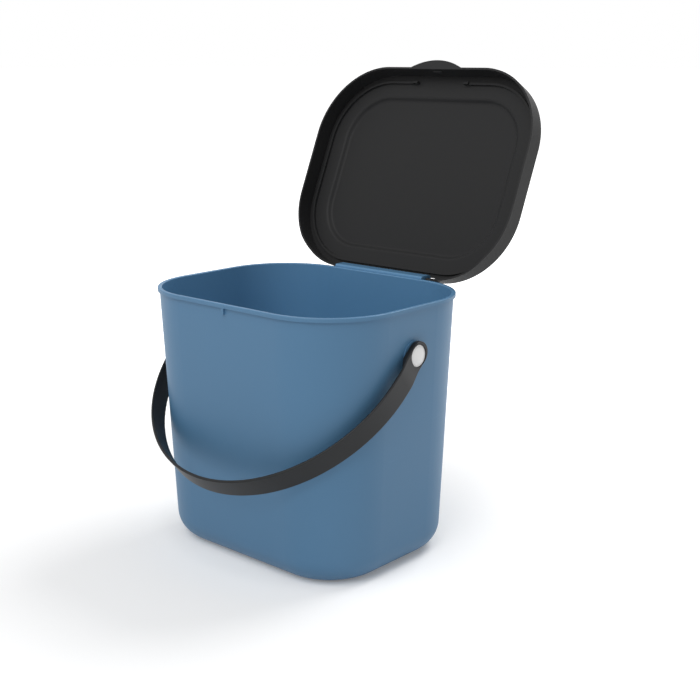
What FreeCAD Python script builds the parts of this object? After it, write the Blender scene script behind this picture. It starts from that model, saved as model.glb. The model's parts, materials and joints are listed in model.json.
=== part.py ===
import FreeCAD, Part
import math
import os
import re
import Sketcher

Vector = FreeCAD.Vector

# A table-top kitchen bin: a tapered oblong bucket, a lid that hinges on the rear rim and stands open,
# and a bail handle that hangs forward on two snap rivets. Millimetres and degrees.
# X is to the right, -Y is the front, +Z is up, and the origin is the middle of the foot on the table.
SIZES = {
    # Bucket, outside of the wall at the mouth; the wall tapers in by base_inset all round at the foot
    "bucket_height": 202.6,
    "mouth_width": 215.2,
    "mouth_depth": 168.8,
    "mouth_corner": 57.2,
    "base_inset": 9.1,
    "wall": 1.8,
    "floor_height": 3.2,
    "base_round": 20.4,
    "foot_width": 6.0,
    "foot_recess": 1.2,
    # Rim bead, and the rib under its front that the lid's nub snaps past
    "bead_proud": 1.4,
    "bead_height": 3.0,
    "bead_round": 0.9,
    "catch_width": 2.2,
    "catch_height": 4.7,
    # Flat pads that the handle's eyes turn on
    "pivot_drop": 35.6,
    "pad_radius": 10.5,
    "pad_proud": 1.3,
    # Hinge tongue on the rear rim, with a barrel on the hinge axis
    "hinge_back": 7.25,
    "hinge_drop": 6.9,
    "tongue_side": 4.4,
    "tongue_rise": 2.0,
    "tongue_plate": 2.0,
    "tongue_setback": 0.6,
    "tongue_root": 0.8,
    "tongue_round": 1.8,
    "tongue_bend": 3.0,
    "tongue_web": 2.2,
    "barrel_radius": 4.6,
    "gusset_width": 2.0,
    "gusset_pitch": 30.0,
    # Lid, drawn closed on the rim
    "lid_open_angle": 113.4,
    "lid_seat_gap": 0.3,
    "lid_side_gap": 0.7,
    "lid_end_gap": 1.4,
    "skirt_wall": 1.6,
    "skirt_height": 16.3,
    "skirt_draft": 1.1,
    "hollow_draft": 0.4,
    "border_thick": 2.0,
    "lid_round": 1.9,
    "panel_inset": 18.3,
    "panel_slope": 3.9,
    "panel_rise": 3.1,
    "panel_round": 1.5,
    "recess_round": 3.0,
    "plug_side_gap": 0.7,
    "plug_end_gap": 1.6,
    "plug_wall": 1.9,
    "plug_depth": 2.0,
    "plug_break": 48.0,
    "post_width": 5.0,
    "post_depth": 3.6,
    "tab_chord": 52.0,
    "tab_reach": 6.3,
    "tab_thick": 2.0,
    "nub_radius": 1.1,
    "nub_length": 9.0,
    "nub_gap": 0.3,
    "nub_height": 5.0,
    # Rear of the lid: notch for the tongue, raised skirt edge, ears, stub pins and stop heels
    "notch_side_gap": 0.5,
    "notch_lead": 1.0,
    "rear_lift": 2.3,
    "rear_lift_side": 27.6,
    "rear_lift_ramp": 13.0,
    "ear_thick": 5.0,
    "ear_shoulder": 1.0,
    "heel_gap": 0.35,
    "heel_length": 4.5,
    "heel_arc": 22.0,
    "pin_radius": 2.2,
    "pin_length": 4.8,
    "pin_clearance": 0.05,
    "pin_end_gap": 0.5,
    # Bail handle, drawn upright with its pivot axis through the origin
    "arm_length": 29.5935,
    "bow_setback": 81.9,
    "strap_width": 17.8,
    "strap_thick": 2.2,
    "strap_round": 0.8,
    "handle_gap": 0.9,
    "eye_past": 2.2,
    "eye_thick": 2.8,
    "eye_gap": 0.3,
    "joggle_start": 9.5,
    "joggle_end": 18.0,
    "joggle_round": 4.0,
    # Snap rivets, drawn along X with the underside of the head at the origin
    "button_radius": 8.0,
    "button_edge": 0.6,
    "button_crown": 0.9,
    "button_gap": 0.15,
    "shank_radius": 4.0,
    "shank_clearance": 0.05,
    "barb_proud": 0.6,
    "barb_gap": 0.3,
    "barb_length": 1.8,
    "barb_taper": 1.6,
    "slot_width": 1.6,
    "slot_depth": 5.0,
    # How far a cutting solid runs past the face that it opens
    "cut_over": 1.0,
}

# Sizes that several pieces share, worked out from the table above
RIM_WIDTH = "(mouth_width + 2 * bead_proud)"
RIM_DEPTH = "(mouth_depth + 2 * bead_proud)"
RIM_CORNER = "(mouth_corner + bead_proud)"
RIM_TOP = "bucket_height"
PIVOT_Z = "(bucket_height - pivot_drop)"
HINGE_Y = f"({RIM_DEPTH} / 2 + hinge_back)"
HINGE_Z = "(bucket_height - hinge_drop)"
TONGUE_FRONT = f"({RIM_DEPTH} / 2 - tongue_setback)"
TONGUE_TOP = "(bucket_height + tongue_rise)"
TONGUE_WIDTH = "(mouth_width - 2 * mouth_corner - 2 * tongue_side)"
BORDER_UNDER = "(bucket_height + lid_seat_gap)"
LID_TOP = f"({BORDER_UNDER} + border_thick)"
LID_LOW = f"({LID_TOP} - skirt_height)"
LID_WIDTH = f"({RIM_WIDTH} + 2 * lid_side_gap + 2 * skirt_wall)"
LID_DEPTH = f"({RIM_DEPTH} + 2 * lid_end_gap + 2 * skirt_wall)"
LID_CORNER = f"({RIM_CORNER} + lid_end_gap + skirt_wall)"
EAR_INNER = f"({TONGUE_WIDTH} / 2 + notch_side_gap)"


def taper_at(height):
    """How far the wall's outer face lies inside the mouth's outline at a height."""
    return f"(base_inset * (1 - ({height}) / bucket_height))"


PAD_FACE = f"(mouth_width / 2 - {taper_at(PIVOT_Z)} + pad_proud)"
WALL_INSIDE = f"(mouth_width / 2 - {taper_at(PIVOT_Z)} - wall)"
EYE_FACE = f"({PAD_FACE} + eye_gap)"
BUTTON_SEAT = f"({EYE_FACE} + eye_thick + button_gap)"

doc = FreeCAD.newDocument("kitchen_bin")
sheet = doc.addObject("Spreadsheet::Sheet", "Sizes")
for row, (name, size) in enumerate(SIZES.items(), start=1):
    sheet.set(f"A{row}", name)
    sheet.set(f"B{row}", str(size))
    sheet.setAlias(f"B{row}", name)
doc.recompute()


def formula(text):
    """The formula with every size name pointing at its cell in the sheet."""
    return re.sub(r"[a-z]\w*", lambda word: f"Sizes.{word[0]}" if word[0] in SIZES else word[0], text)


def value(text):
    return float(sheet.evalExpression(formula(text)))


def sketch_on(body, name, plane, offset="0"):
    """Empty sketch on one of the body's own planes, moved along the plane's normal."""
    sketch = body.newObject("Sketcher::SketchObject", name)
    support = next(item for item in body.Origin.OriginFeatures if item.Role == plane)
    sketch.AttachmentSupport = (support, [""])
    sketch.MapMode = "FlatFace"
    sketch.setExpression("AttachmentOffset.Base.z", formula(offset))
    return sketch


def drive(sketch, size, *constraint):
    """Dimension of a sketch that follows a formula."""
    index = sketch.addConstraint(Sketcher.Constraint(*constraint, value(size)))
    name = f"size_{index}"
    sketch.renameConstraint(index, name)
    sketch.setExpression(f"Constraints.{name}", formula(size))


def pin_point(sketch, edge, end, x, y):
    """Ties a point of an edge to a place in the sketch; "0" puts it on the sketch's axis."""
    x_axis, y_axis, origin = -1, -2, 1
    if x == "0":
        sketch.addConstraint(Sketcher.Constraint("PointOnObject", edge, end, y_axis))
    else:
        drive(sketch, x, "DistanceX", x_axis, origin, edge, end)
    if y == "0":
        sketch.addConstraint(Sketcher.Constraint("PointOnObject", edge, end, x_axis))
    else:
        drive(sketch, y, "DistanceY", x_axis, origin, edge, end)


def contour(sketch, corners):
    """Closed outline. A corner is (x, y), or (x, y, turn, centre) where a round edge leaves it:
    turn is 1 for counter-clockwise, and centre is one given coordinate of its centre, ("x" or "y", size)."""
    places = [Vector(value(corner[0]), value(corner[1]), 0) for corner in corners]
    edges = []
    for corner, start, end in zip(corners, places, places[1:] + places[:1]):
        if len(corner) == 2:
            edges.append((sketch.addGeometry(Part.LineSegment(start, end)), 1, 2))
            continue
        turn, (given, size) = corner[2:]
        middle, chord, known = (start + end) / 2, end - start, value(size)
        if given == "x":
            centre = Vector(known, middle.y - (known - middle.x) * chord.x / chord.y, 0)
        else:
            centre = Vector(middle.x - (known - middle.y) * chord.y / chord.x, known, 0)
        ring = Part.Circle(centre, Vector(0, 0, 1), (start - centre).Length)
        first, last = (start, end) if turn > 0 else (end, start)
        arc = Part.ArcOfCircle(ring, ring.parameter(first), ring.parameter(last))
        edge = sketch.addGeometry(arc)
        axis = "DistanceX" if given == "x" else "DistanceY"
        drive(sketch, size, axis, -1, 1, edge, 3)
        edges.append((edge, 1, 2) if turn > 0 else (edge, 2, 1))
    for index, (edge, start, end) in enumerate(edges):
        before, _, before_end = edges[index - 1]
        sketch.addConstraint(Sketcher.Constraint("Coincident", before, before_end, edge, start))
        pin_point(sketch, edge, start, *corners[index][:2])
    return sketch


def box_outline(sketch, left, front, right, back):
    return contour(sketch, [(left, front), (right, front), (right, back), (left, back)])


def ring_outline(sketch, x, y, radius):
    """Circle in a sketch."""
    place = Vector(value(x), value(y), 0)
    edge = sketch.addGeometry(Part.Circle(place, Vector(0, 0, 1), value(radius)))
    pin_point(sketch, edge, 3, x, y)
    drive(sketch, radius, "Radius", edge)
    return sketch


def oblong_outline(sketch, width, depth, corner):
    """Rounded oblong about the sketch's origin: four straight sides, four tangent corners."""
    half_width, half_depth, radius = value(width) / 2, value(depth) / 2, value(corner)
    flat_x, flat_y = half_width - radius, half_depth - radius
    up = Vector(0, 0, 1)
    quarter = math.pi / 2
    sides = [
        ((-flat_x, -half_depth), (flat_x, -half_depth)),
        ((half_width, -flat_y), (half_width, flat_y)),
        ((flat_x, half_depth), (-flat_x, half_depth)),
        ((-half_width, flat_y), (-half_width, -flat_y)),
    ]
    middles = [(flat_x, -flat_y), (flat_x, flat_y), (-flat_x, flat_y), (-flat_x, -flat_y)]
    edges = []
    for turn, (side, middle) in enumerate(zip(sides, middles)):
        edges.append(sketch.addGeometry(Part.LineSegment(Vector(*side[0], 0), Vector(*side[1], 0))))
        ring = Part.Circle(Vector(*middle, 0), up, radius)
        edges.append(sketch.addGeometry(Part.ArcOfCircle(ring, (turn - 1) * quarter, turn * quarter)))
    for index, edge in enumerate(edges):
        sketch.addConstraint(Sketcher.Constraint("Tangent", edges[index - 1], 2, edge, 1))
    front, front_right, right, _, back, _, left, _ = edges
    for edge in (front, back):
        sketch.addConstraint(Sketcher.Constraint("Horizontal", edge))
    for edge in (right, left):
        sketch.addConstraint(Sketcher.Constraint("Vertical", edge))
    for edge in edges[3::2]:
        sketch.addConstraint(Sketcher.Constraint("Equal", front_right, edge))
    drive(sketch, f"{width} / 2", "DistanceX", -1, 1, right, 1)
    drive(sketch, f"{width} / 2", "DistanceX", left, 1, -1, 1)
    drive(sketch, f"{depth} / 2", "DistanceY", front, 1, -1, 1)
    drive(sketch, f"{depth} / 2", "DistanceY", -1, 1, back, 1)
    drive(sketch, corner, "Radius", front_right)
    return sketch


def oblong(body, name, height, width, depth, corner):
    return oblong_outline(sketch_on(body, name, "XY_Plane", height), width, depth, corner)


def volume_of(body):
    doc.recompute()
    return body.Shape.Volume if body.Tip else 0.0


def pad(body, name, sketch, length, symmetric=False):
    feature = body.newObject("PartDesign::Pad", name)
    feature.Profile = sketch
    feature.SideType = "Symmetric" if symmetric else "One side"
    feature.setExpression("Length", formula(length))
    doc.recompute()
    return feature


def pocket(body, name, sketch, length, symmetric=False, along_normal=False):
    """Cut from a sketch, against its plane's normal unless told otherwise; it has to remove something."""
    before = volume_of(body)
    feature = body.newObject("PartDesign::Pocket", name)
    feature.Profile = sketch
    feature.SideType = "Symmetric" if symmetric else "One side"
    feature.Reversed = along_normal
    feature.setExpression("Length", formula(length))
    if volume_of(body) >= before:
        raise RuntimeError(f"{body.Label}: {name} cuts nothing")
    return feature


def loft(body, name, kind, first, second):
    feature = body.newObject(f"PartDesign::{kind}", name)
    feature.Profile = first
    feature.Sections = [second]
    feature.Ruled = True
    doc.recompute()
    return feature


def round_edges(body, name, radius, wanted):
    """Fillet on the edges of the body that the test picks."""
    doc.recompute()
    base = body.Tip
    names = [f"Edge{place}" for place, edge in enumerate(base.Shape.Edges, start=1) if wanted(edge)]
    feature = body.newObject("PartDesign::Fillet", name)
    feature.Base = (base, names)
    feature.setExpression("Radius", formula(radius))
    doc.recompute()
    return feature


def lies_at(edge, axis, place, tolerance=0.01):
    """True where the whole edge lies in the plane axis = place."""
    box = edge.BoundBox
    low, high = getattr(box, f"{axis}Min"), getattr(box, f"{axis}Max")
    return abs(low - place) < tolerance and abs(high - place) < tolerance


def reaches_past(edge, width, depth):
    """True where some of the edge lies outside a box of this width and depth about the Z axis."""
    box, half_width, half_depth = edge.BoundBox, value(width) / 2, value(depth) / 2
    return max(box.XMax, -box.XMin) > half_width or max(box.YMax, -box.YMin) > half_depth


def new_body(label):
    body = doc.addObject("PartDesign::Body", label)
    body.Label = label
    return body


# Bucket: tapered wall on a rounded base, closed with a slab at the rim that becomes the bead
bucket = new_body("bucket")


def mouth_oblong(name, height, inset):
    """Outline of the mouth, moved inwards all round."""
    return oblong(bucket, name, height, f"(mouth_width - 2 * ({inset}))", f"(mouth_depth - 2 * ({inset}))",
                  f"(mouth_corner - ({inset}))")


loft(bucket, "tapered_wall", "AdditiveLoft",
     mouth_oblong("foot_outline", "0", "base_inset"), mouth_oblong("mouth_outline", RIM_TOP, "0"))
bead = oblong(bucket, "bead_outline", f"{RIM_TOP} - bead_height", RIM_WIDTH, RIM_DEPTH, RIM_CORNER)
pad(bucket, "rim_bead", bead, "bead_height")
round_edges(bucket, "bead_rounding", "bead_round", lambda edge: lies_at(edge, "Z", value(RIM_TOP)))

# Catch rib below the front of the bead, flush with it
catch = sketch_on(bucket, "catch_outline", "XY_Plane", f"{RIM_TOP} - bead_height - catch_height")
box_outline(catch, "-catch_width / 2", f"-{RIM_DEPTH} / 2", "catch_width / 2", "-mouth_depth / 2 + wall")
pad(bucket, "catch_rib", catch, "catch_height + bead_height / 2")

# Pivot pads: one round bar from side to side, which the hollow later leaves as two flat discs
pads = ring_outline(sketch_on(bucket, "pad_outline", "YZ_Plane"), "0", PIVOT_Z, "pad_radius")
pad(bucket, "pivot_pads", pads, f"2 * {PAD_FACE}", symmetric=True)

# Hinge tongue: a plate over the rear rim, bent down at the back to the barrel on the hinge axis
BARREL_BACK = f"({HINGE_Y} + barrel_radius)"
WEB_FRONT = f"({BARREL_BACK} - tongue_web)"
WEB_FOOT = f"({HINGE_Z} + sqrt(barrel_radius ^ 2 - (barrel_radius - tongue_web) ^ 2))"
PLATE_UNDER = f"({TONGUE_TOP} - tongue_plate)"
tongue = contour(sketch_on(bucket, "tongue_profile", "YZ_Plane"), [
    (TONGUE_FRONT, f"{RIM_TOP} - tongue_root"),
    (f"{TONGUE_FRONT} + tongue_root", f"{RIM_TOP} - tongue_root"),
    (f"{TONGUE_FRONT} + tongue_root", PLATE_UNDER),
    (WEB_FRONT, PLATE_UNDER),
    (WEB_FRONT, WEB_FOOT, 1, ("x", HINGE_Y)),
    (f"{HINGE_Y} - barrel_radius", HINGE_Z, 1, ("y", HINGE_Z)),
    (BARREL_BACK, HINGE_Z),
    (BARREL_BACK, f"{TONGUE_TOP} - tongue_bend", 1, ("y", f"{TONGUE_TOP} - tongue_bend")),
    (f"{BARREL_BACK} - tongue_bend", TONGUE_TOP),
    (TONGUE_FRONT, TONGUE_TOP),
])
pad(bucket, "hinge_tongue", tongue, TONGUE_WIDTH, symmetric=True)
round_edges(bucket, "tongue_rounding", "tongue_round",
            lambda edge: lies_at(edge, "Z", value(TONGUE_TOP)) and lies_at(edge, "Y", value(TONGUE_FRONT)))

# Gussets from the wall to the barrel, the outer two flush with the barrel's ends
gussets = sketch_on(bucket, "gusset_outlines", "XY_Plane", HINGE_Z)
gusset_edges = [
    f"-{TONGUE_WIDTH} / 2",
    "-gusset_pitch / 2 - gusset_width",
    "gusset_pitch / 2",
    f"{TONGUE_WIDTH} / 2 - gusset_width",
]
for left in gusset_edges:
    box_outline(gussets, left, "mouth_depth / 2 - wall / 2", f"{left} + gusset_width", HINGE_Y)
pad(bucket, "gussets", gussets, f"{PLATE_UNDER} - {HINGE_Z}")

# Blind bores in the barrel's ends, for the lid's stub pins
BORE_END = f"({TONGUE_WIDTH} / 2 - pin_length + notch_side_gap - pin_end_gap)"
for side, sign in (("right", ""), ("left", "-")):
    bore = sketch_on(bucket, f"{side}_bore_outline", "YZ_Plane", f"{sign}{BORE_END}")
    ring_outline(bore, HINGE_Y, HINGE_Z, "pin_radius + pin_clearance")
    pocket(bucket, f"{side}_hinge_bore", bore, "pin_length + cut_over", along_normal=side == "right")

# Hollow of the bucket, rounded at its floor and at the rim's inner edge
MOUTH_OVER = f"({RIM_TOP} + cut_over)"
loft(bucket, "hollow", "SubtractiveLoft",
     mouth_oblong("hollow_floor_outline", "floor_height", f"{taper_at('floor_height')} + wall"),
     mouth_oblong("hollow_mouth_outline", MOUTH_OVER, f"{taper_at(MOUTH_OVER)} + wall"))
round_edges(bucket, "floor_rounding", "base_round - wall",
            lambda edge: lies_at(edge, "Z", value("floor_height")))
round_edges(bucket, "base_rounding", "base_round", lambda edge: lies_at(edge, "Z", 0))
INNER_RIM = ("mouth_width - wall", "mouth_depth - wall")
round_edges(bucket, "inner_rim_rounding", "bead_round",
            lambda edge: lies_at(edge, "Z", value(RIM_TOP)) and not reaches_past(edge, *INNER_RIM))

# Rivet holes through both walls, and the recess that leaves a foot ring under the base
holes = sketch_on(bucket, "rivet_hole_outline", "YZ_Plane")
ring_outline(holes, "0", PIVOT_Z, "shank_radius + shank_clearance")
pocket(bucket, "rivet_holes", holes, RIM_WIDTH, symmetric=True)
recess = mouth_oblong("foot_recess_outline", "0", "base_inset + base_round + foot_width")
pocket(bucket, "foot_recess", recess, "foot_recess", along_normal=True)

# Lid: a shallow drafted cap with a raised panel, drawn closed
lid = new_body("lid")


def lid_oblong(name, height, inset):
    """Outline of the lid, moved inwards all round."""
    return oblong(lid, name, height, f"({LID_WIDTH} - 2 * ({inset}))", f"({LID_DEPTH} - 2 * ({inset}))",
                  f"({LID_CORNER} - ({inset}))")


loft(lid, "skirt_and_border", "AdditiveLoft",
     lid_oblong("skirt_edge_outline", LID_LOW, "0"), lid_oblong("border_outline", LID_TOP, "skirt_draft"))
PANEL_TOP = f"({LID_TOP} + panel_rise)"
loft(lid, "raised_panel", "AdditiveLoft",
     lid_oblong("panel_foot_outline", f"{LID_TOP} - border_thick / 2", "panel_inset"),
     lid_oblong("panel_top_outline", PANEL_TOP, "panel_inset + panel_slope"))
PANEL_FOOT = (f"{LID_WIDTH} - panel_inset", f"{LID_DEPTH} - panel_inset")
round_edges(lid, "border_rounding", "lid_round",
            lambda edge: lies_at(edge, "Z", value(LID_TOP)) and reaches_past(edge, *PANEL_FOOT))
round_edges(lid, "panel_foot_rounding", "panel_round",
            lambda edge: lies_at(edge, "Z", value(LID_TOP)) and not reaches_past(edge, *PANEL_FOOT))
round_edges(lid, "panel_rounding", "panel_round", lambda edge: lies_at(edge, "Z", value(PANEL_TOP)))

# Inside of the lid: the space round the rim, then the back of the raised panel
loft(lid, "skirt_hollow", "SubtractiveLoft",
     lid_oblong("hollow_edge_outline", f"{LID_LOW} - cut_over", "skirt_wall"),
     lid_oblong("hollow_top_outline", BORDER_UNDER, "skirt_wall + hollow_draft"))
PANEL_UNDER = f"({PANEL_TOP} - border_thick)"
PANEL_WALL = "(panel_inset + border_thick)"
loft(lid, "panel_hollow", "SubtractiveLoft",
     lid_oblong("panel_hollow_foot_outline", f"{BORDER_UNDER} - cut_over", PANEL_WALL),
     lid_oblong("panel_hollow_top_outline", PANEL_UNDER, f"{PANEL_WALL} + panel_slope"))


def is_recess_edge(edge):
    """True on the inner and outer edges of the recess behind the panel."""
    on_border = lies_at(edge, "Z", value(BORDER_UNDER)) and not reaches_past(edge, *PANEL_FOOT)
    return on_border or lies_at(edge, "Z", value(PANEL_UNDER))


round_edges(lid, "panel_hollow_rounding", "recess_round", is_recess_edge)

# Plug rib that drops just inside the rim, broken at the front, with a short post at each broken end
PLUG_WIDTH = "(mouth_width - 2 * wall - 2 * plug_side_gap)"
PLUG_DEPTH = "(mouth_depth - 2 * wall - 2 * plug_end_gap)"
PLUG_CORNER = "(mouth_corner - wall - plug_end_gap)"
PLUG_LOW = f"({BORDER_UNDER} - plug_depth)"
plug = oblong(lid, "plug_outline", PLUG_LOW, PLUG_WIDTH, PLUG_DEPTH, PLUG_CORNER)
oblong_outline(plug, f"({PLUG_WIDTH} - 2 * plug_wall)", f"({PLUG_DEPTH} - 2 * plug_wall)",
               f"({PLUG_CORNER} - plug_wall)")
pad(lid, "plug_rib", plug, "plug_depth + border_thick / 2")
PLUG_FRONT = f"({PLUG_DEPTH} / 2)"
gap = sketch_on(lid, "plug_break_outline", "XY_Plane", BORDER_UNDER)
box_outline(gap, "-plug_break / 2", f"-{PLUG_FRONT} - cut_over", "plug_break / 2",
            f"-{PLUG_FRONT} + plug_wall + cut_over")
pocket(lid, "plug_break", gap, "plug_depth + cut_over")
posts = sketch_on(lid, "post_outlines", "XY_Plane", f"{BORDER_UNDER} - post_depth")
for left in ("-plug_break / 2 - post_width", "plug_break / 2"):
    box_outline(posts, left, f"-{PLUG_FRONT}", f"{left} + post_width", f"-{PLUG_FRONT} + plug_wall")
pad(lid, "plug_posts", posts, "post_depth + border_thick / 2")

# Finger tab at the front of the skirt's lower edge, a segment of a circle
TAB_FRONT = f"({LID_DEPTH} / 2 + tab_reach)"
TAB_RADIUS = "((tab_chord ^ 2 / 4 + tab_reach ^ 2) / (2 * tab_reach))"
TAB_ROOT = f"(-{LID_DEPTH} / 2 + skirt_wall / 2)"
tab = contour(sketch_on(lid, "tab_outline", "XY_Plane", LID_LOW), [
    ("-tab_chord / 2", TAB_ROOT),
    ("-tab_chord / 2", f"-{LID_DEPTH} / 2", 1, ("y", f"{TAB_RADIUS} - {TAB_FRONT}")),
    ("tab_chord / 2", f"-{LID_DEPTH} / 2"),
    ("tab_chord / 2", TAB_ROOT),
])
pad(lid, "finger_tab", tab, "tab_thick")

# Catch nub inside the front of the skirt, a short round bar that passes the bucket's catch rib
nub = sketch_on(lid, "nub_outline", "YZ_Plane")
ring_outline(nub, f"-{RIM_DEPTH} / 2 - nub_gap - nub_radius", f"{LID_LOW} + nub_height", "nub_radius")
pad(lid, "catch_nub", nub, "nub_length", symmetric=True)

# Notch for the tongue, and the skirt's rear edge raised so that it swings clear of the bead
notch = sketch_on(lid, "notch_outline", "XY_Plane", f"{LID_TOP} + cut_over")
box_outline(notch, f"-{EAR_INNER}", f"{TONGUE_FRONT} - notch_lead", EAR_INNER, f"{LID_DEPTH} / 2 + cut_over")
pocket(lid, "tongue_notch", notch, "skirt_height + 2 * cut_over")
LIFT_LOW = f"({LID_LOW} - cut_over)"
LIFT_SIDE = f"({LID_WIDTH} / 2 - rear_lift_side)"
LIFT_FOOT = f"({LIFT_SIDE} + rear_lift_ramp * (rear_lift + cut_over) / rear_lift)"
lift = contour(sketch_on(lid, "rear_lift_outline", "XZ_Plane"), [
    (f"-{LIFT_FOOT}", LIFT_LOW),
    (LIFT_FOOT, LIFT_LOW),
    (LIFT_SIDE, f"{LID_LOW} + rear_lift"),
    (f"-{LIFT_SIDE}", f"{LID_LOW} + rear_lift"),
])
pocket(lid, "rear_lift", lift, LID_DEPTH)

# Hinge ears beside the notch. The heel under each is round about the hinge axis and ends in a flat
# that meets the bucket's rear wall, below the bead, when the lid stands open.
REAR_WALL = f"(mouth_depth / 2 - {taper_at(HINGE_Z)})"
HEEL_REACH = f"({HINGE_Y} - {REAR_WALL} - heel_gap)"
HEEL_TURN = "(lid_open_angle - 180)"
FLAT_TURN = "(lid_open_angle - 90)"
HEEL_Y = f"({HINGE_Y} + {HEEL_REACH} * cos({HEEL_TURN}))"
HEEL_Z = f"({HINGE_Z} + {HEEL_REACH} * sin({HEEL_TURN}))"
SHOULDER = f"({LID_TOP} - ear_shoulder)"
EAR_ROOT = f"({LID_DEPTH} / 2 - skirt_wall)"
ear_profile = [
    (EAR_ROOT, f"{LID_LOW} + rear_lift"),
    (f"{HINGE_Y} + {HEEL_REACH} * cos({HEEL_TURN} - heel_arc)",
     f"{HINGE_Z} + {HEEL_REACH} * sin({HEEL_TURN} - heel_arc)", 1, ("y", HINGE_Z)),
    (HEEL_Y, HEEL_Z),
    (f"{HEEL_Y} + heel_length * cos({FLAT_TURN})", f"{HEEL_Z} + heel_length * sin({FLAT_TURN})"),
    (BARREL_BACK, f"{SHOULDER} - barrel_radius", 1, ("y", f"{SHOULDER} - barrel_radius")),
    (HINGE_Y, SHOULDER),
    (EAR_ROOT, SHOULDER),
]
for side, inner in (("right", EAR_INNER), ("left", f"-{EAR_INNER} - ear_thick")):
    ear = contour(sketch_on(lid, f"{side}_ear_profile", "YZ_Plane", inner), ear_profile)
    pad(lid, f"{side}_ear", ear, "ear_thick")

# Stub pins on the inner faces of the ears
for side, inner in (("right", f"{EAR_INNER} - pin_length"), ("left", f"-{EAR_INNER}")):
    stub = sketch_on(lid, f"{side}_pin_outline", "YZ_Plane", inner)
    ring_outline(stub, HINGE_Y, HINGE_Z, "pin_radius")
    pad(lid, f"{side}_hinge_pin", stub, "pin_length")

# The lid stands open, turned back about the hinge axis
lid.Placement = FreeCAD.Placement(Vector(), FreeCAD.Rotation(Vector(-1, 0, 0), value("lid_open_angle")))
lid.setExpression("Placement.Rotation.Angle", formula("lid_open_angle"))
lid.setExpression("Placement.Base.y", formula(
    f"{HINGE_Y} * (1 - cos(lid_open_angle)) - {HINGE_Z} * sin(lid_open_angle)"))
lid.setExpression("Placement.Base.z", formula(
    f"{HINGE_Z} * (1 - cos(lid_open_angle)) + {HINGE_Y} * sin(lid_open_angle)"))

# Bail handle: a flat strap bent to a U, drawn upright; its arms step in below the lid to round-ended eyes.
# It hangs at the angle at which the bow, bow_setback past the arms, stands over the bucket's front.
handle = new_body("carry_handle")
ARM_INNER = f"({LID_WIDTH} / 2 + handle_gap)"
ARM_OUTER = f"({ARM_INNER} + strap_thick)"
HANG_ANGLE = "acos(mouth_depth / 2 / (arm_length + bow_setback))"
EYE_OUTER = f"({EYE_FACE} + eye_thick)"
strap = contour(sketch_on(handle, "strap_profile", "XZ_Plane"), [
    (EYE_OUTER, "-eye_past"),
    (EYE_OUTER, "joggle_start"),
    (ARM_OUTER, "joggle_end"),
    (ARM_OUTER, "arm_length", 1, ("y", "arm_length")),
    (f"-{ARM_OUTER}", "arm_length"),
    (f"-{ARM_OUTER}", "joggle_end"),
    (f"-{EYE_OUTER}", "joggle_start"),
    (f"-{EYE_OUTER}", "-eye_past"),
    (f"-{EYE_FACE}", "-eye_past"),
    (f"-{EYE_FACE}", "joggle_start"),
    (f"-{ARM_INNER}", "joggle_end"),
    (f"-{ARM_INNER}", "arm_length", -1, ("y", "arm_length")),
    (ARM_INNER, "arm_length"),
    (ARM_INNER, "joggle_end"),
    (EYE_FACE, "joggle_start"),
    (EYE_FACE, "-eye_past"),
])
pad(handle, "strap", strap, "strap_width", symmetric=True)


def is_joggle_bend(edge):
    """True on the edges across the strap where its arms step out."""
    across = edge.BoundBox.YLength > value("strap_width") / 2
    return across and any(lies_at(edge, "Z", value(place)) for place in ("joggle_start", "joggle_end"))


round_edges(handle, "joggle_rounding", "joggle_round", is_joggle_bend)
for side, inner in (("right", EYE_FACE), ("left", f"-{EYE_OUTER}")):
    eye = sketch_on(handle, f"{side}_eye_outline", "YZ_Plane", inner)
    pad(handle, f"{side}_eye", ring_outline(eye, "0", "-eye_past", "strap_width / 2"), "eye_thick")


def is_strap_edge(edge):
    """True on the strap's four long edges and where they run on round its ends."""
    on_side = any(lies_at(edge, "Y", sign * value("strap_width") / 2) for sign in (1, -1))
    round_end = isinstance(edge.Curve, Part.Circle) and edge.BoundBox.XLength < value("eye_thick") / 2
    return on_side and edge.Length > value("eye_thick") or round_end


round_edges(handle, "strap_rounding", "strap_round", is_strap_edge)
eye_holes = ring_outline(sketch_on(handle, "eye_hole_outline", "YZ_Plane"), "0", "0",
                         "shank_radius + shank_clearance")
pocket(handle, "eye_holes", eye_holes, f"2 * {EYE_OUTER} + cut_over", symmetric=True)

# The handle hangs forward and down
handle.Placement = FreeCAD.Placement(Vector(), FreeCAD.Rotation(Vector(1, 0, 0), 90 + value(HANG_ANGLE)))
handle.setExpression("Placement.Base.z", formula(PIVOT_Z))
handle.setExpression("Placement.Rotation.Angle", formula(f"90 deg + {HANG_ANGLE}"))


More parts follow.
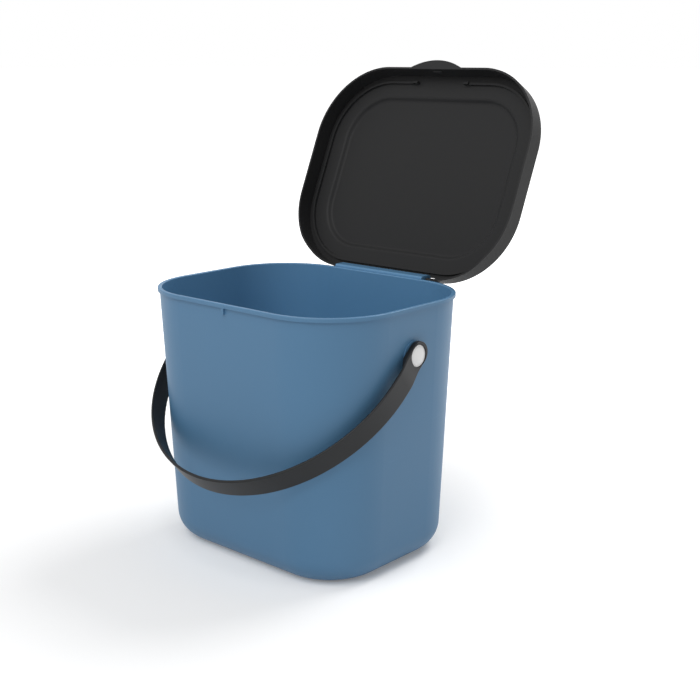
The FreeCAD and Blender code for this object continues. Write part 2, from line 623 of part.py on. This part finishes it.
# Snap rivets: a domed head over the eye, a shank through eye and wall, and a split barb inside
def pivot_button(label, seat, turn):
    body = new_body(label)
    barb_start = f"({WALL_INSIDE} - barb_gap - {BUTTON_SEAT})"
    tip = f"({barb_start} - barb_length)"
    dome = "((button_radius ^ 2 + button_crown ^ 2) / (2 * button_crown))"
    half = contour(sketch_on(body, f"{label}_profile", "XY_Plane"), [
        (tip, "0"),
        ("button_edge + button_crown", "0", 1, ("x", f"button_edge + button_crown - {dome}")),
        ("button_edge", "button_radius"),
        ("0", "button_radius"),
        ("0", "shank_radius"),
        (barb_start, "shank_radius"),
        (barb_start, "shank_radius + barb_proud"),
        (tip, "shank_radius + barb_proud - barb_taper"),
    ])
    turned = body.newObject("PartDesign::Revolution", f"{label}_turning")
    turned.Profile = half
    turned.ReferenceAxis = (half, ["H_Axis"])
    turned.Angle = 360
    slot = sketch_on(body, f"{label}_slot_outline", "XY_Plane")
    box_outline(slot, f"{tip} - cut_over", "-shank_radius - cut_over", f"{tip} + slot_depth",
                "shank_radius + cut_over")
    pocket(body, f"{label}_slot", slot, "slot_width", symmetric=True)
    body.Placement = FreeCAD.Placement(Vector(), FreeCAD.Rotation(Vector(0, 0, 1), turn))
    body.setExpression("Placement.Base.x", formula(seat))
    body.setExpression("Placement.Base.z", formula(PIVOT_Z))
    return body


right_button = pivot_button("right_pivot_button", BUTTON_SEAT, 0)
left_button = pivot_button("left_pivot_button", f"-{BUTTON_SEAT}", 180)

# Every feature has to be sound and every piece one valid solid before anything is written
doc.recompute()
for item in doc.Objects:
    if {"Invalid", "Error"} & set(item.State):
        raise RuntimeError(f"{item.Label}: {item.State}")
pieces = [bucket, lid, handle, left_button, right_button]
for piece in pieces:
    shape = piece.Shape
    if shape.isNull() or not shape.isValid() or len(shape.Solids) != 1:
        raise RuntimeError(f"{piece.Label} is not one valid solid")

os.makedirs("parts", exist_ok=True)
for piece in pieces:
    piece.Shape.exportStep(f"parts/{piece.Label}.step")
    box = piece.Shape.BoundBox
    print(f"{piece.Label}: {piece.Shape.Volume / 1000:.1f} cm3,",
          f"x {box.XMin:.1f} to {box.XMax:.1f}, y {box.YMin:.1f} to {box.YMax:.1f},",
          f"z {box.ZMin:.1f} to {box.ZMax:.1f}")
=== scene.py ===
import bmesh
import bpy
import json
import math
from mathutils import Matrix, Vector


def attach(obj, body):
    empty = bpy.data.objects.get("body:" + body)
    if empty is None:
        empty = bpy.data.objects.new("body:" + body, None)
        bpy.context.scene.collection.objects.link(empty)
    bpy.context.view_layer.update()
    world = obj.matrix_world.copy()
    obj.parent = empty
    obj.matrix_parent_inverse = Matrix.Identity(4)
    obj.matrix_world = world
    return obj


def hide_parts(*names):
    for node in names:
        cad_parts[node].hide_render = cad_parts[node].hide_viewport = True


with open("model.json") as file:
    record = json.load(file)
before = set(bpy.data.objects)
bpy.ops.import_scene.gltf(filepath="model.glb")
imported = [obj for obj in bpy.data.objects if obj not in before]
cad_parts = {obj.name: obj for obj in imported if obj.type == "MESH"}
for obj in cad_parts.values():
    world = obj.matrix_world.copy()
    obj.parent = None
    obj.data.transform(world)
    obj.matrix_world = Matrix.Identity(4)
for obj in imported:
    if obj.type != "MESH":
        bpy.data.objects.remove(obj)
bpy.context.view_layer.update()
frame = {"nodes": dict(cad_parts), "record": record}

# Bucket: the blue body of the bin, one injection moulding in polypropylene with a fine matt grain.
# Wall, rolled rim, hinge tongue, pivot pads and foot ring come out of the mould as one piece.
# Its rim and its foot are rubbed a little paler where liners and worktops touch them.
nodes = frame["nodes"]
joints = frame["record"]["behaviour"]["joints"]
pivot_of = {joint["name"]: Vector(joint["pos_m"]) for joint in joints}


class Socket:
    """A shader value. Operators add Math nodes, and node() adds any other node to the same tree."""

    def __init__(self, tree, output):
        self.tree, self.output = tree, output

    def node(self, kind, settings=None, result=0, **inputs):
        return add_node(self.tree, kind, settings, result, **inputs)

    def math(self, operation, *values):
        places = {f"in{index}": value for index, value in enumerate(values)}
        return self.node("ShaderNodeMath", {"operation": operation}, **places)

    def vector_math(self, operation, other, result="Vector"):
        """A Vector Math node on this vector and another one."""
        settings = {"operation": operation}
        return self.node("ShaderNodeVectorMath", settings, result, in0=self, in1=other)

    def band(self, start, end):
        """0 up to start and 1 from end on, with a soft step between them."""
        return self.node("ShaderNodeMapRange", {"interpolation_type": "SMOOTHSTEP"},
                         Value=self, From_Min=start, From_Max=end)

    def __add__(self, other):
        return self.math("ADD", self, other)

    def __sub__(self, other):
        return self.math("SUBTRACT", self, other)

    def __rsub__(self, other):
        return self.math("SUBTRACT", other, self)

    def __mul__(self, other):
        return self.math("MULTIPLY", self, other)

    __radd__ = __add__
    __rmul__ = __mul__


def add_node(tree, kind, settings=None, result=0, **inputs):
    """Adds a node, sets its own settings first, then its sockets; in0, in1 and so on go by place."""
    made = tree.nodes.new(kind)
    for name, setting in (settings or {}).items():
        setattr(made, name, setting)
    for name, wanted in inputs.items():
        by_place = name[:2] == "in" and name[2:].isdigit()
        socket = made.inputs[int(name[2:]) if by_place else name.replace("_", " ")]
        if isinstance(wanted, Socket):
            tree.links.new(wanted.output, socket)
        else:
            socket.default_value = wanted
    return Socket(tree, made.outputs[result]) if made.outputs else None


def along(place, direction, start):
    """How far a place lies past a starting point, measured along a direction, in metres."""
    return place.vector_math("DOT_PRODUCT", direction, "Value") - Vector(start).dot(direction)


# What the noises of all the mouldings look like, and where scuffs, wear and the painted light and shade
# show in them.
GRAIN_NOISE = {"Detail": 3.0, "Roughness": 0.6}
FLOW_NOISE = {"Scale": 20.0, "Detail": 4.0, "Roughness": 0.55}
SCUFF_NOISE = {"Scale": 1.0, "Detail": 2.0, "Distortion": 0.6}
SCUFF_STRETCH = (60.0, 45.0, 900.0)
SCUFF_LINES, SCUFF_PATCHES, WEAR_AND_PAINTED_LIGHT_PATCHES = (0.66, 0.74), (0.5, 0.62), (0.3, 0.6)
NOISE_MIDDLE = 0.5

# How far each of them shifts the tone and the roughness, and how strongly the grain shows as bump.
FLOW_TONE, GRAIN_TONE = 0.05, 0.06
FLOW_ROUGH, GRAIN_ROUGH = 0.1, 0.08
WORN_SMOOTHER, SCUFF_SMOOTHER = 0.08, 0.05
# The inside's lift in tone is painted light; its lower roughness is a real smoother finish.
INSIDE_PAINTED_LIGHT, POLISHED_SMOOTHER = 0.3, 0.12
GRAIN_BUMP = 0.3


def moulded_plastic(name, colour, roughness, gloss, grain_size, grain_depth, wear_and_painted_light_mask, wear_and_painted_light_lift,
                    scuff_lift, polished_and_painted_light=None):
    """Injection-moulded plastic: mould grain, cloudy pigment, hairline scuffs, and wear, painted shade
    and painted highlights where a piece's mask gives them.
    """
    material = bpy.data.materials.new(name)
    material.use_nodes = True
    tree = material.node_tree
    tree.nodes.clear()
    place = add_node(tree, "ShaderNodeTexCoord", result="Object")
    grain = place.node("ShaderNodeTexNoise", Vector=place, Scale=1 / grain_size, **GRAIN_NOISE)
    flow = place.node("ShaderNodeTexNoise", Vector=place, **FLOW_NOISE)
    drawn_out = place.vector_math("MULTIPLY", SCUFF_STRETCH)
    streaks = place.node("ShaderNodeTexNoise", Vector=drawn_out, **SCUFF_NOISE)
    scuffs = streaks.band(*SCUFF_LINES) * flow.band(*SCUFF_PATCHES)
    # The mask is real wear on the bucket and lid, painted shade on the strap's edges and a painted
    # highlight on the button rims.
    wear_and_painted_light = wear_and_painted_light_mask(place) * flow.band(*WEAR_AND_PAINTED_LIGHT_PATCHES)
    cloud, speckle = flow - NOISE_MIDDLE, grain - NOISE_MIDDLE
    tone = cloud * FLOW_TONE + speckle * GRAIN_TONE + wear_and_painted_light * wear_and_painted_light_lift + scuffs * scuff_lift + 1.0
    rough = speckle * GRAIN_ROUGH + cloud * FLOW_ROUGH
    rough = rough - wear_and_painted_light * WORN_SMOOTHER - scuffs * SCUFF_SMOOTHER + roughness
    # Where this mask is given, the tone is lifted as painted light and the roughness is lowered for a
    # smoother finish.
    if polished_and_painted_light:
        smoother_and_painted_lighter = polished_and_painted_light(place)
        tone = tone + smoother_and_painted_lighter * INSIDE_PAINTED_LIGHT
        rough = rough - smoother_and_painted_lighter * POLISHED_SMOOTHER
    paint = place.node("ShaderNodeVectorMath", {"operation": "SCALE"}, in0=colour, Scale=tone)
    bump = place.node("ShaderNodeBump", Height=grain, Strength=GRAIN_BUMP, Distance=grain_depth)
    shader = place.node("ShaderNodeBsdfPrincipled", Base_Color=paint, Roughness=rough, Normal=bump,
                        Specular_IOR_Level=gloss)
    place.node("ShaderNodeOutputMaterial", Surface=shader)
    return material


def dress(piece, material):
    """Gives a piece one material all over."""
    piece.data.materials.clear()
    piece.data.materials.append(material)


BUCKET_BLUE = (0.073, 0.18, 0.31)
ORIGIN, UP = (0, 0, 0), Vector((0, 0, 1))
RIM_OVER_HINGE = 0.0069
RIM_TOP = pivot_of["lid_hinge"].z + RIM_OVER_HINGE
RIM_RUB, FOOT_RUB = 0.0012, (0.0006, 0.005)
LEVEL_ONLY = (1, 1, 0)
FACING_IN, FACING_UP = (-0.02, -0.006), (0.3, 0.6)
BOTTOM_FADE = (0.03, 0.05)


def rim_and_foot(place):
    """The top of the rolled rim, and the foot with the start of the wall above it."""
    height = along(place, UP, ORIGIN)
    return height.band(RIM_TOP - RIM_RUB, RIM_TOP) + (1 - height.band(*FOOT_RUB))


def bucket_inside(place):
    """The wall's faces that look inwards, and the bucket's floor: smoother from the polish of the
    mould's core, and painted lighter as painted light.
    """
    facing = place.node("ShaderNodeNewGeometry", result="Normal")
    outwards = facing.vector_math("DOT_PRODUCT", place.vector_math("MULTIPLY", LEVEL_ONLY), "Value")
    wall = 1 - outwards.band(*FACING_IN)
    low_down = 1 - along(place, UP, ORIGIN).band(*BOTTOM_FADE)
    bottom = along(facing, UP, ORIGIN).band(*FACING_UP) * low_down
    return wall.math("MAXIMUM", wall, bottom)


# Inside the bucket the tone is painted lighter as painted light, and the finish is smoother.
dress(nodes["bucket"],
      moulded_plastic("bucket_plastic", BUCKET_BLUE, roughness=0.5, gloss=0.4, grain_size=0.00045,
                      grain_depth=0.00006, wear_and_painted_light_mask=rim_and_foot, wear_and_painted_light_lift=0.12, scuff_lift=0.03,
                      polished_and_painted_light=bucket_inside))

# Lid: one black polypropylene moulding with the same mould grain as the bucket, a little smoother.
# Two ears with stub pins snap into the ends of the tongue's barrel, and it stands open on their heels.
# The lower edge of its skirt is rubbed where it meets the rim.
LID_BLACK = (0.02, 0.02, 0.0205)
LID_OPEN = math.radians(113.4)
LID_OUT = Vector((0, math.sin(LID_OPEN), math.cos(LID_OPEN)))
SKIRT_EDGE, SKIRT_RUB = -0.0071, 0.0012


def skirt_edge(place):
    """The lower edge of the skirt, by its height over the hinge along the lid's own axis."""
    height = along(place, LID_OUT, pivot_of["lid_hinge"])
    return 1 - height.band(SKIRT_EDGE, SKIRT_EDGE + SKIRT_RUB)


dress(nodes["lid"],
      moulded_plastic("lid_plastic", LID_BLACK, roughness=0.48, gloss=0.13, grain_size=0.00045,
                      grain_depth=0.00006, wear_and_painted_light_mask=skirt_edge, wear_and_painted_light_lift=0.3, scuff_lift=0.12))

# Carry handle: a flat black polypropylene strap moulded in a U, satin from use, with rounded long edges.
# Its outer face runs on over a thick round eye at each end, with a seat sunk for the rivet's head.
# It hangs forward on the two snap rivets.
HANDLE_BLACK = (0.015, 0.016, 0.0175)
HANG = math.radians(40.8)
STRAP_DOWN = Vector((0, -math.cos(HANG), -math.sin(HANG)))
STRAP_ACROSS = Vector((0, -math.sin(HANG), math.cos(HANG)))
STRAP_HALF, STRAP_SHADE_START, STRAP_SHADE_END = 0.0089, 0.0011, 0.0001
STRAP_OUTSIDE, EYE_OUTSIDE = 0.1144, 0.112
LEAN_START, LEAN_END, LEAN_STEPS = 0.004, 0.024, 32
SEAT_FLOOR, SEAT_RADIUS, SEAT_FLARE, SEAT_SIDES = 0.110401, 0.00815, 0.0002, 96
SAME_POINT = 1e-6
CREASE = math.radians(35)


def leaned_eyes(cad_handle):
    """A merged copy of the handle, thickened outwards at its eyes so that the outer face has no step."""
    pivot = pivot_of["handle_swing"]
    shape = bmesh.new()
    shape.from_mesh(cad_handle.data)
    bmesh.ops.remove_doubles(shape, verts=shape.verts, dist=SAME_POINT)
    # Thin cuts across each arm, which also give its inner and outer face there.
    faces_at = []
    for step in range(LEAN_STEPS + 1):
        reach = LEAN_START + (LEAN_END - LEAN_START) * step / LEAN_STEPS
        whole = shape.verts[:] + shape.edges[:] + shape.faces[:]
        cut = bmesh.ops.bisect_plane(shape, geom=whole, dist=SAME_POINT,
                                     plane_co=pivot + STRAP_DOWN * reach, plane_no=STRAP_DOWN)
        points = [point for point in cut["geom_cut"] if isinstance(point, bmesh.types.BMVert)]
        depths = [abs(point.co.x) for point in points]
        faces_at.append((min(depths), max(depths)))
    # Each point keeps its share of the thickness between the inner face and the new outer face.
    for corner in shape.verts:
        progress = ((corner.co - pivot).dot(STRAP_DOWN) - LEAN_START) / (LEAN_END - LEAN_START)
        if progress >= 1:
            continue
        progress = max(progress, 0.0)
        step = min(int(progress * LEAN_STEPS), LEAN_STEPS - 1)
        part = progress * LEAN_STEPS - step
        before, after = faces_at[step], faces_at[step + 1]
        inside, outside = (low + (high - low) * part for low, high in zip(before, after))
        lean = progress * progress * (3 - 2 * progress)
        wanted = EYE_OUTSIDE + (STRAP_OUTSIDE - EYE_OUTSIDE) * lean
        depth = (abs(corner.co.x) - inside) / (outside - inside)
        corner.co.x = math.copysign(inside + depth * (wanted - inside), corner.co.x)
    return shape


def button_seats():
    """The sunk round seats for the two rivet heads, each a short drum with a flared mouth."""
    pivot = pivot_of["handle_swing"]
    mouth = SEAT_RADIUS + SEAT_FLARE
    profile = ((SEAT_FLOOR, SEAT_RADIUS), (EYE_OUTSIDE - SEAT_FLARE, SEAT_RADIUS),
               (EYE_OUTSIDE, mouth), (STRAP_OUTSIDE + SEAT_RADIUS, mouth))
    turns = [2 * math.pi * side / SEAT_SIDES for side in range(SEAT_SIDES)]
    circle = [(math.cos(turn), math.sin(turn)) for turn in turns]
    shape = bmesh.new()
    for hand in (-1, 1):
        rings = [[shape.verts.new((hand * depth, pivot.y + radius * y, pivot.z + radius * z))
                  for y, z in circle] for depth, radius in profile]
        for near, far in zip(rings, rings[1:]):
            for side in range(SEAT_SIDES):
                shape.faces.new((near[side - 1], near[side], far[side], far[side - 1]))
        shape.faces.new(rings[0])
        shape.faces.new(rings[-1])
    bmesh.ops.recalc_face_normals(shape, faces=shape.faces)
    return shape


def placed(name, shape):
    """A new object from a worked shape, with plain faces and nothing carried over from the CAD mesh."""
    shape.verts.index_update()
    mesh = bpy.data.meshes.new(name)
    mesh.from_pydata([corner.co for corner in shape.verts], [],
                     [[corner.index for corner in face.verts] for face in shape.faces])
    shape.free()
    thing = bpy.data.objects.new(name, mesh)
    bpy.context.scene.collection.objects.link(thing)
    return thing


def apply_modifiers(thing):
    """Turns an object with its modifiers into a plain mesh."""
    view = bpy.context.evaluated_depsgraph_get()
    thing.data = bpy.data.meshes.new_from_object(thing.evaluated_get(view))
    thing.modifiers.clear()


strap = placed("strap_with_eyes", leaned_eyes(nodes["carry_handle"]))
seats = placed("button_seats", button_seats())
sink = strap.modifiers.new("sink_seats", "BOOLEAN")
sink.operation, sink.solver, sink.object = "DIFFERENCE", "EXACT", seats
apply_modifiers(strap)
bpy.data.objects.remove(seats)
strap.data.shade_smooth()
strap.data.set_sharp_from_angle(angle=CREASE)
flat_faces = strap.modifiers.new("flat_faces", "WEIGHTED_NORMAL")
flat_faces.keep_sharp = True
apply_modifiers(strap)


def strap_edge_painted_shade(place):
    """The strap's two rounded long edges, painted darker than its flat faces as painted shade."""
    offset = along(place, STRAP_ACROSS, pivot_of["handle_swing"])
    from_middle = offset.math("ABSOLUTE", offset)
    return from_middle.band(STRAP_HALF - STRAP_SHADE_START, STRAP_HALF - STRAP_SHADE_END)


# The strap's darker long edges are painted shade.
dress(strap,
      moulded_plastic("handle_plastic", HANDLE_BLACK, roughness=0.44, gloss=0.25, grain_size=0.0004,
                      grain_depth=0.00005, wear_and_painted_light_mask=strap_edge_painted_shade, wear_and_painted_light_lift=-0.45, scuff_lift=0.12))
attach(strap, "handle")
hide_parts("carry_handle")

# Pivot buttons: white acetal snap rivets from a polished mould.
# The split shank goes through the strap's eye and the bucket's wall, and its barb holds inside.
# The rim of each domed head lies just below the strap's face, painted a shade whiter than the crown as a
# painted highlight.
BUTTON_WHITE = (0.8, 0.8, 0.795)
BUTTON_RADIUS, BUTTON_RIM = 0.008, 0.001
SEEN_END_ON = (0, 1, 1)


def button_rim_painted_highlight(place):
    """The outermost ring of a rivet's head, by its distance from the handle's axis, lightened as a
    painted highlight.
    """
    spread = place.vector_math("MULTIPLY", SEEN_END_ON)
    radius = spread.vector_math("DISTANCE", pivot_of["handle_swing"], "Value")
    return radius.band(BUTTON_RADIUS - BUTTON_RIM, BUTTON_RADIUS)


button_plastic = moulded_plastic("button_plastic", BUTTON_WHITE, roughness=0.34, gloss=0.5,
                                 grain_size=0.0006, grain_depth=0.00001, wear_and_painted_light_mask=button_rim_painted_highlight,
                                 wear_and_painted_light_lift=0.18, scuff_lift=-0.02)
for button in ("left_pivot_button", "right_pivot_button"):
    dress(nodes[button], button_plastic)

# Floor: a plain white sheet that runs on past the edge of the view and keeps the bin's shadow.
# Where the camera or a gloss sees it, a glow of its own, stronger away from the bin's front,
# brings the lit sheet up to white.
FLOOR_WHITE = (0.9, 0.9, 0.9, 1)
FLOOR_HALF = 30.0
FLOOR_CORNERS = ((-1, -1), (1, -1), (1, 1), (-1, 1))
NEAR_GLOW, FAR_GLOW = 0.14, 0.85
GLOW_START, GLOW_END = 0.42, 0.85
GLOW_MIDDLE = (-0.1, -0.35, 0)


def seen_directly(tree):
    """1 where the camera, a reflection or a clear piece looks at it, 0 where it only gives light."""
    camera_ray, glossy_ray, clear_ray = [
        add_node(tree, "ShaderNodeLightPath", result=f"Is {kind} Ray")
        for kind in ("Camera", "Glossy", "Transmission")]
    return camera_ray.math("MAXIMUM", camera_ray.math("MAXIMUM", camera_ray, glossy_ray), clear_ray)


floor_mesh = bpy.data.meshes.new("pale_floor")
floor_mesh.from_pydata([(x * FLOOR_HALF, y * FLOOR_HALF, 0) for x, y in FLOOR_CORNERS], [],
                       [(0, 1, 2, 3)])
floor = bpy.data.objects.new("pale_floor", floor_mesh)
bpy.context.scene.collection.objects.link(floor)
floor_sheet = bpy.data.materials.new("pale_floor")
floor_sheet.use_nodes = True
floor_tree = floor_sheet.node_tree
floor_tree.nodes.clear()
floor_seen = seen_directly(floor_tree)
floor_place = add_node(floor_tree, "ShaderNodeTexCoord", result="Object")
floor_radius = floor_place.vector_math("DISTANCE", GLOW_MIDDLE, "Value")
glow_share = floor_radius.band(GLOW_START, GLOW_END)
floor_glow = floor_seen * (glow_share * (FAR_GLOW - NEAR_GLOW) + NEAR_GLOW)
floor_shader = floor_seen.node("ShaderNodeBsdfPrincipled", Base_Color=FLOOR_WHITE, Roughness=1.0,
                               Specular_IOR_Level=0.0, Emission_Color=floor_glow,
                               Emission_Strength=1.0)
floor_seen.node("ShaderNodeOutputMaterial", Surface=floor_shader)
dress(floor, floor_sheet)

# Light: an even white surround and two large soft lamps over the bin, one behind and one in front.
# The lamp behind is the smaller and gives the shadow that falls forward; the one in front fills.
SURROUND = 0.38
SURROUND_WHITE = (1, 1, 1, 1)
LAMPS_AIM = Vector((0, 0, 0.15))
world = bpy.data.worlds.new("studio")
bpy.context.scene.world = world
world.use_nodes = True
world.node_tree.nodes.clear()
world_seen = seen_directly(world.node_tree)
surround = world_seen.node("ShaderNodeBackground", Color=SURROUND_WHITE,
                           Strength=world_seen * (1 - SURROUND) + SURROUND)
world_seen.node("ShaderNodeOutputWorld", Surface=surround)


def soft_lamp(name, place, size, power):
    """A round area lamp, turned towards the middle of the bin."""
    lamp = bpy.data.lights.new(name, "AREA")
    lamp.shape, lamp.size, lamp.energy = "DISK", size, power
    holder = bpy.data.objects.new(name, lamp)
    holder.location = place
    holder.rotation_euler = (LAMPS_AIM - Vector(place)).to_track_quat("-Z", "Y").to_euler()
    bpy.context.scene.collection.objects.link(holder)


soft_lamp("key_lamp", place=(0.3, 1.8, 2.4), size=1.5, power=40)
soft_lamp("fill_lamp", place=(0.2, -1.9, 2.6), size=3.0, power=60)

# Camera: at the photograph's viewing angle, to the right of the front and about as high as the
# top of the open lid.
CAMERA_TURN, CAMERA_RISE = math.radians(41.63), math.radians(13.93)
CAMERA_DISTANCE = 0.8895
CAMERA_TARGET = Vector((0.04619, 0, 0.16064))
CAMERA_LENS, CAMERA_SENSOR = 61.03, 36
towards_camera = Vector((math.sin(CAMERA_TURN) * math.cos(CAMERA_RISE),
                         -math.cos(CAMERA_TURN) * math.cos(CAMERA_RISE), math.sin(CAMERA_RISE)))
camera_data = bpy.data.cameras.new("photo_camera")
camera_data.lens, camera_data.sensor_width = CAMERA_LENS, CAMERA_SENSOR
camera = bpy.data.objects.new("photo_camera", camera_data)
camera.location = CAMERA_TARGET + towards_camera * CAMERA_DISTANCE
camera.rotation_euler = (-towards_camera).to_track_quat("-Z", "Y").to_euler()
bpy.context.scene.collection.objects.link(camera)
bpy.context.scene.camera = camera
bpy.context.scene.view_settings.view_transform = "Standard"
